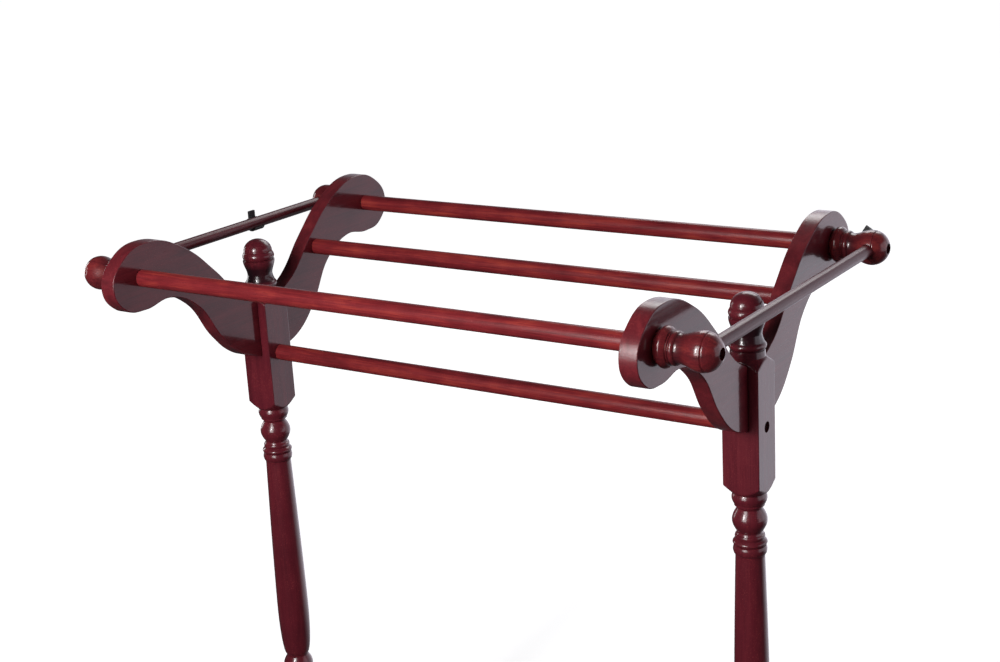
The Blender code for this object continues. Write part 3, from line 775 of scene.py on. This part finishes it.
def build_second_rail(seed):
    """The rail whose thinner ends are glued into the rear wings."""
    node = "rear_second_rail"
    half = extent(node).x / 2
    shoulder_at = INNER_FACE - GAP
    top = [(0.0, half)] + chamfered(SPIGOT_R, half) + [(SPIGOT_R, shoulder_at)]
    top += chamfered(RAIL_R, shoulder_at)
    profile = top + [(r, -z) for r, z in reversed(top)]
    rail = place(lathe(f"{node}_rod", profile), middle(node), along_x())
    smooth(rail)
    wear_piece(rail, node, lacquered_wood(f"{node}_lacquer", "rail", 2, seed))


def build_side_bar(side, seed):
    node = f"{side}_side_bar"
    half = extent(node).y / 2
    top = [(0.0, half)] + chamfered(BAR_R, half)
    profile = top + [(r, -z) for r, z in reversed(top)]
    bar = place(lathe(f"{node}_rod", profile), middle(node), along_y())
    smooth(bar)
    wear_piece(bar, node, lacquered_wood(f"{node}_lacquer", "bar", 2, seed))


def build_rails():
    for seed, node in enumerate(BOLTED_RAILS, start=30):
        build_bolted_rail(node, seed)
    build_second_rail(36)
    for seed, (side, _) in enumerate(SIDES, start=40):
        build_side_bar(side, seed)


# ---------------------------------------------------------------- knobs
def knob_profile():
    """The knob from its tip down to its base, with a groove cut round the ball."""
    rows = [(0.0, KNOB_LENGTH)]
    groove = 0.0448
    for i in range(40):
        angle = math.radians(18 + 72 * i / 39)
        height = BALL_AT + (KNOB_LENGTH + 0.0006 - BALL_AT) * math.cos(angle)
        cut = max(0.0, 1 - abs(height - groove) / 0.0009)
        rows.append((0.0178 * math.sin(angle) - 0.0009 * cut, height))
    # from the ball down to the waist, then two rings and the base
    rows += [(0.0154 + 0.0024 * math.cos(math.pi * i / 20), BALL_AT - 0.0205 * i / 20)
             for i in range(1, 21)]
    rows += [(0.0132, 0.0189), (0.0137, 0.0184)]
    rows += bulge(0.0181, 0.0136, 0.0141, 0.0151, 10)
    rows += [(0.0141, 0.0134)]
    rows += bulge(0.0132, 0.0119, 0.0145, 0.0151, 6)
    rows += [(0.0145, 0.0116)]
    rows += bulge(0.0113, 0.0012, 0.0156, 0.0184, 18)
    rows += [(0.0155, GAP + 0.0003), (0.0151, GAP), (0.0, GAP)]
    return rows


def build_knob(side, sign, end_name, end, seed):
    """A turned knob with its plug hole, bolt hole and bar socket; a rear one has a flat and a pilot
    hole for the catch."""
    node = f"{side}_{end_name}_knob"
    knob = place(lathe(f"{node}_turned", knob_profile()), (sign * OUTER_FACE, end * LOBE_Y, RAIL_Z),
                 along_x(sign))
    y, z = end * LOBE_Y, RAIL_Z
    tip = OUTER_FACE + KNOB_LENGTH
    if end > 0:
        face = LOBE_Y + CATCH_FACE
        flat = soft_box("cutter", (sign * BAR_X - 0.02, face, z - 0.02),
                        (sign * BAR_X + 0.02, face + 0.02, z + 0.02), 0)
        combine(knob, flat)
    rods = [
        (COUNTERBORE_R, (sign * (tip - KNOB_MOUTH), y, z), (sign * (tip + PAST), y, z), 40),
        (BAR_R + GAP, (sign * BAR_X, end * (LOBE_Y - BAR_SOCKET), z),
         (sign * BAR_X, end * (LOBE_Y - 0.03), z), 48),
    ]
    if end > 0:
        rods.append((SCREW_R + GAP, (sign * BAR_X, face - PILOT_DEPTH, z),
                     (sign * BAR_X, face + PAST, z), 20))
    combine(knob, cutter(rods))
    combine(knob, cutter([(BORE_R, (sign * (OUTER_FACE - PAST), y, z),
                           (sign * (tip - KNOB_MOUTH / 2), y, z), 32)]))
    smooth(knob)
    wear_piece(knob, node, lacquered_wood(f"{node}_lacquer", "knob", 2, seed))


def build_knobs():
    seed = 50
    for side, sign in SIDES:
        for end_name, end in ENDS:
            build_knob(side, sign, end_name, end, seed)
            seed += 1


# ---------------------------------------------------------------- clip and catches
def build_clip():
    """The snap cuff round the left bar, with a ribbed thumb tab outside it."""
    node = "left_bar_clip"
    radius = BAR_R + GAP
    first, last, steps = 132, 320, 48         # the cuff's ends, in degrees round the bar
    inner = arc(radius, first, last, steps)
    outer = []
    for i in range(steps + 1):
        t = i / steps
        angle = math.radians(last + (first - last) * t)
        wall = 0.0009 + 0.0019 * math.sin(math.pi * t) ** 0.7
        outer.append(((radius + wall) * math.cos(angle), (radius + wall) * math.sin(angle)))
    points = [(x, y, True) for x, y in inner + outer]
    cuff = board(f"{node}_moulded", points, CLIP_LENGTH, 0.00018, 1)
    place(cuff, (-BAR_X, CLIP_Y, RAIL_Z), (math.pi / 2, 0, 0))
    front, back = CLIP_Y - 0.0042, CLIP_Y + 0.0054
    tab = soft_box("tab", (-BAR_X - 0.0078, front, RAIL_Z + 0.0046),
                   (-BAR_X - 0.0048, back, RAIL_Z + 0.0134), 0.0004)
    combine(cuff, tab, "UNION")
    for i in range(4):
        height = RAIL_Z + 0.0060 + 0.0018 * i
        rib = soft_box("rib", (-BAR_X - 0.0080, front + 0.0010, height),
                       (-BAR_X - 0.0074, back - 0.0010, height + 0.0008), 0.00025)
        combine(cuff, rib, "UNION")
    for end in (-1, 1):                       # slope the cuff's lower corners
        wedge = soft_box("wedge", (-0.02, -0.01, -0.02), (0.02, 0.01, 0.0), 0)
        place(wedge, (-BAR_X, CLIP_Y + end * (CLIP_LENGTH / 2 + 0.0085), RAIL_Z - BAR_R),
              (end * math.radians(50), 0, 0))
        combine(cuff, wedge)
    smooth(cuff)
    wear_piece(cuff, node, black_plastic(f"{node}_plastic", 1))


def build_catch(side, sign, seed):
    """A turn button with a rounded end at its screw."""
    node = f"{side}_bar_catch"
    half_width, reach, lean = 0.0085, 0.0205, math.radians(57)
    outline = arc(half_width, 180, 360, 40) + [(half_width, reach), (-half_width, reach)]
    catch = board(f"{node}_moulded", [(x, y, True) for x, y in outline], CATCH_THICK, 0.0005, 1)
    place(catch, (sign * BAR_X, CATCH_NEAR + CATCH_THICK / 2, RAIL_Z), (math.pi / 2, -sign * lean, 0))
    combine(catch, cutter([(SCREW_R + GAP, (sign * BAR_X, CATCH_NEAR - PAST, RAIL_Z),
                            (sign * BAR_X, CATCH_NEAR + PAST, RAIL_Z), 24)]))
    smooth(catch)
    wear_piece(catch, node, black_plastic(f"{node}_plastic", seed))


def build_catch_screw(side, sign, seed):
    """A round-headed screw with a slot."""
    node = f"{side}_catch_screw"
    dome = [(0.0030 * math.sin(a), 0.0006 + 0.0010 * math.cos(a))
            for a in (math.radians(9 * i) for i in range(11))]
    profile = dome + [(0.0030, GAP), (SCREW_R, GAP), (SCREW_R, -0.0090), (0.0, -0.0110)]
    seat = CATCH_NEAR + CATCH_THICK
    screw = place(lathe(f"{node}_turned", profile, 32), (sign * BAR_X, seat, RAIL_Z), along_y())
    slot = soft_box("slot", (sign * BAR_X - 0.004, seat + 0.0009, RAIL_Z - 0.0004),
                    (sign * BAR_X + 0.004, seat + 0.004, RAIL_Z + 0.0004), 0)
    combine(screw, slot)
    smooth(screw)
    wear_piece(screw, node, zinc(f"{node}_zinc", seed))


# ---------------------------------------------------------------- fasteners and glides
def build_bolt(node, seat, sign, seed):
    """A socket-headed bolt, its head's underside at seat and its shank towards the middle."""
    length = extent(node).x - BOLT_HEAD
    head = [(BOLT_HEAD_R - 0.0005 + 0.0005 * math.sin(a), BOLT_HEAD - 0.0005 + 0.0005 * math.cos(a))
            for a in (math.radians(15 * i) for i in range(7))]
    profile = [(0.0, BOLT_HEAD)] + head + [(BOLT_HEAD_R, GAP), (BOLT_R, GAP), (BOLT_R, 0.0005 - length),
                                           (BOLT_R - 0.0005, -length), (0.0, -length)]
    bolt = place(lathe(f"{node}_turned", profile, 48), seat, along_x(sign))
    inward = Vector((sign, 0, 0))
    start = Vector(seat)
    bottom, outside = start + inward * (BOLT_HEAD - HEX_DEPTH), start + inward * PAST
    combine(bolt, cutter([(HEX_R, bottom, outside, 6)]))
    smooth(bolt)
    wear_piece(bolt, node, zinc(f"{node}_zinc", seed))


def build_bolts():
    seed = 60
    for side, sign in SIDES:
        seat = OUTER_FACE + KNOB_LENGTH - KNOB_MOUTH
        for end_name, end in ENDS:
            node = f"{side}_{end_name}_knob_bolt"
            build_bolt(node, (sign * seat, end * LOBE_Y, RAIL_Z), sign, seed)
            seed += 1
        seat = POST_X + HALF - POST_MOUTH
        for level, z in (("upper", UPPER_BLOCK_Z), ("lower", LOWER_BLOCK_Z)):
            node = f"{side}_{level}_post_bolt"
            build_bolt(node, (sign * seat, 0, z), sign, seed)
            seed += 1


def build_inserts():
    """Threaded sleeves, their outer threads as rings."""
    seed = 70
    for rail in BOLTED_RAILS:
        for side, _ in SIDES:
            node = f"{rail}_{side}_insert"
            half = INSERT_LENGTH / 2
            rings = 8
            pitch = INSERT_LENGTH / rings
            outer = []
            for i in range(rings):
                top = half - pitch * i
                outer += [(INSERT_R - 0.0008, top), (INSERT_R, top - pitch / 2)]
            outer.append((INSERT_R - 0.0008, -half))
            profile = [(BORE_R, half)] + outer + [(BORE_R, -half), (BORE_R, half)]
            sleeve = place(lathe(f"{node}_turned", profile, 36), middle(node), along_x())
            smooth(sleeve)
            wear_piece(sleeve, node, zinc(f"{node}_zinc", seed))
            seed += 1


def build_dowels():
    seed = 80
    for side, _ in SIDES:
        for board_name in ("wing", "foot"):
            for number in (1, 2):
                node = f"{side}_{board_name}_dowel_{number}"
                half = extent(node).y / 2
                top = [(0.0, half)] + chamfered(DOWEL_R, half, 0.0009)
                profile = top + [(r, -z) for r, z in reversed(top)]
                dowel = place(lathe(f"{node}_rod", profile, 36), middle(node), along_y())
                smooth(dowel)
                wear_piece(dowel, node, bare_wood(f"{node}_beech", 2, seed))
                seed += 1


def build_glides():
    seed = 90
    for side, _ in SIDES:
        for end_name, _ in ENDS:
            node = f"{side}_{end_name}_glide"
            edge = [(GLIDE_R - 0.0010 + 0.0010 * math.cos(a), 0.0012 - 0.0012 * math.sin(a))
                    for a in (math.radians(15 * i) for i in range(7))]
            profile = [(0.0, GLIDE_HEIGHT), (GLIDE_R - 0.0003, GLIDE_HEIGHT),
                       (GLIDE_R, GLIDE_HEIGHT - 0.0003)] + edge + [(0.0, 0.0)]
            centre = middle(node)
            glide = place(lathe(f"{node}_turned", profile, 48), (centre.x, centre.y, 0))
            smooth(glide)
            wear_piece(glide, node, nylon(f"{node}_nylon", seed))
            seed += 1


# ---------------------------------------------------------------- studio
def build_floor():
    """A white floor, lit through from below more strongly away from the rack."""
    size = 40.0
    work = bmesh.new()
    bmesh.ops.create_grid(work, x_segments=1, y_segments=1, size=size)
    floor = link("studio_floor", mesh_from("studio_floor", work))
    nodes = Nodes("studio_floor")
    source = nodes.add("ShaderNodeTexCoord")
    away = nodes.add("ShaderNodeVectorMath", operation="LENGTH")
    nodes.join(source.outputs["Object"], away.inputs[0])
    glow = nodes.spread(away.outputs["Value"], 0.6, 2.4, 0.60, 0.94)
    nodes.set(Base_Color=(0.80, 0.80, 0.80, 1.0), Roughness=0.9, Emission_Color=WHITE,
              Emission_Strength=glow)
    floor.data.materials.append(nodes.material)
    floor.visible_glossy = False
    floor.visible_diffuse = False


def area_light(name, location, target, size, radiance, color=(1, 1, 1)):
    """A softbox of width and height in metres that looks at target."""
    light = bpy.data.lights.new(name, "AREA")
    light.shape = "RECTANGLE"
    light.size, light.size_y = size
    light.energy = radiance * math.pi * size[0] * size[1]
    light.color = color
    obj = link(name, light)
    obj.location = location
    obj.rotation_euler = (Vector(target) - Vector(location)).to_track_quat("-Z", "Y").to_euler()
    obj.visible_camera = False


def build_lights():
    """A tall softbox to the left of the camera with a brighter core, a dim panel at the right, a
    narrow strip at the left for the edges' highlights and a high dim panel behind."""
    height = RAIL_Z - 0.05
    area_light("key_softbox", (-0.02, -1.56, 1.26), (0.2, -0.1, 1.0), (0.76, 1.30), 7.6)
    area_light("key_core", (-0.16, -1.50, 1.32), (0.2, -0.1, height), (0.07, 0.50), 70)
    area_light("right_panel", (2.10, 0.60, 0.95), (0, 0, height), (1.80, 1.40), 1.1, (0.95, 0.90, 1.0))
    area_light("left_strip", (-2.10, 0.35, 0.80), (-0.3, 0, height), (0.26, 0.90), 5)
    area_light("back_fill", (-0.30, 2.10, 2.30), (0, 0, 0.45), (1.80, 1.00), 3.0)


def ranged(tree, source, low, high, to_low, to_high):
    """A smooth step from one strength to another as a direction's component goes low to high."""
    step = tree.nodes.new("ShaderNodeMapRange")
    step.interpolation_type = "SMOOTHSTEP"
    ends = {"From Min": low, "From Max": high, "To Min": to_low, "To Max": to_high}
    for key, number in ends.items():
        step.inputs[key].default_value = number
    tree.links.new(source, step.inputs["Value"])
    return step.outputs["Result"]


def combined(tree, operation, first, second):
    node = tree.nodes.new("ShaderNodeMath")
    node.operation = operation
    for socket, value in zip(node.inputs, (first, second)):
        if isinstance(value, float):
            socket.default_value = value
        else:
            tree.links.new(value, socket)
    return node.outputs[0]


def build_world():
    """A bright sweep behind the rack near the horizon, dim overhead and in front; the rack
    mirrors it, while the camera sees plain white."""
    world = bpy.data.worlds.new("studio")
    bpy.context.scene.world = world
    world.use_nodes = True
    tree = world.node_tree
    background = tree.nodes["Background"]
    background.inputs["Color"].default_value = (0.92, 0.89, 1.0, 1.0)
    source = tree.nodes.new("ShaderNodeTexCoord")
    split = tree.nodes.new("ShaderNodeSeparateXYZ")
    tree.links.new(source.outputs["Generated"], split.inputs["Vector"])
    towards = tree.nodes.new("ShaderNodeVectorMath")
    towards.operation = "DOT_PRODUCT"
    towards.inputs[1].default_value = SWEEP_WAY
    tree.links.new(source.outputs["Generated"], towards.inputs[0])
    sweep = ranged(tree, towards.outputs["Value"], 0.50, 0.92, 0.0, SWEEP)
    sweep = combined(tree, "MULTIPLY", sweep, ranged(tree, split.outputs["Z"], 0.10, 0.65, 1.0, 0.22))
    sweep = combined(tree, "MULTIPLY", sweep, ranged(tree, split.outputs["Z"], -0.52, -0.38, 0.25, 1.0))
    lit = combined(tree, "ADD", sweep, FILL)
    tree.links.new(lit, background.inputs["Strength"])
    plain = tree.nodes.new("ShaderNodeBackground")
    plain.inputs["Color"].default_value = WHITE
    seen = tree.nodes.new("ShaderNodeLightPath")
    choose = tree.nodes.new("ShaderNodeMixShader")
    tree.links.new(seen.outputs["Is Camera Ray"], choose.inputs["Fac"])
    tree.links.new(background.outputs["Background"], choose.inputs[1])
    tree.links.new(plain.outputs["Background"], choose.inputs[2])
    tree.links.new(choose.outputs["Shader"], tree.nodes["World Output"].inputs["Surface"])


def build_camera():
    """The photograph's viewpoint, as solved from the rack's edges."""
    camera = bpy.data.cameras.new("camera")
    camera.lens = 60.03
    camera.sensor_width = 36.0
    obj = link("camera", camera)
    obj.location = (0.9429, -1.3633, RAIL_Z + 0.416)
    obj.rotation_euler = Euler([math.radians(a) for a in (73.421, 3.156, 33.111)], "XYZ")
    bpy.context.scene.camera = obj


# ---------------------------------------------------------------- assembly
build_camera()
build_posts()
build_boards()
build_rails()
build_knobs()
build_clip()
for number, (side, sign) in enumerate(SIDES, start=1):
    build_catch(side, sign, number + 1)
    build_catch_screw(side, sign, number + 4)
build_bolts()
build_inserts()
build_dowels()
build_glides()
build_floor()
build_lights()
build_world()
bpy.context.scene.view_settings.view_transform = "Standard"
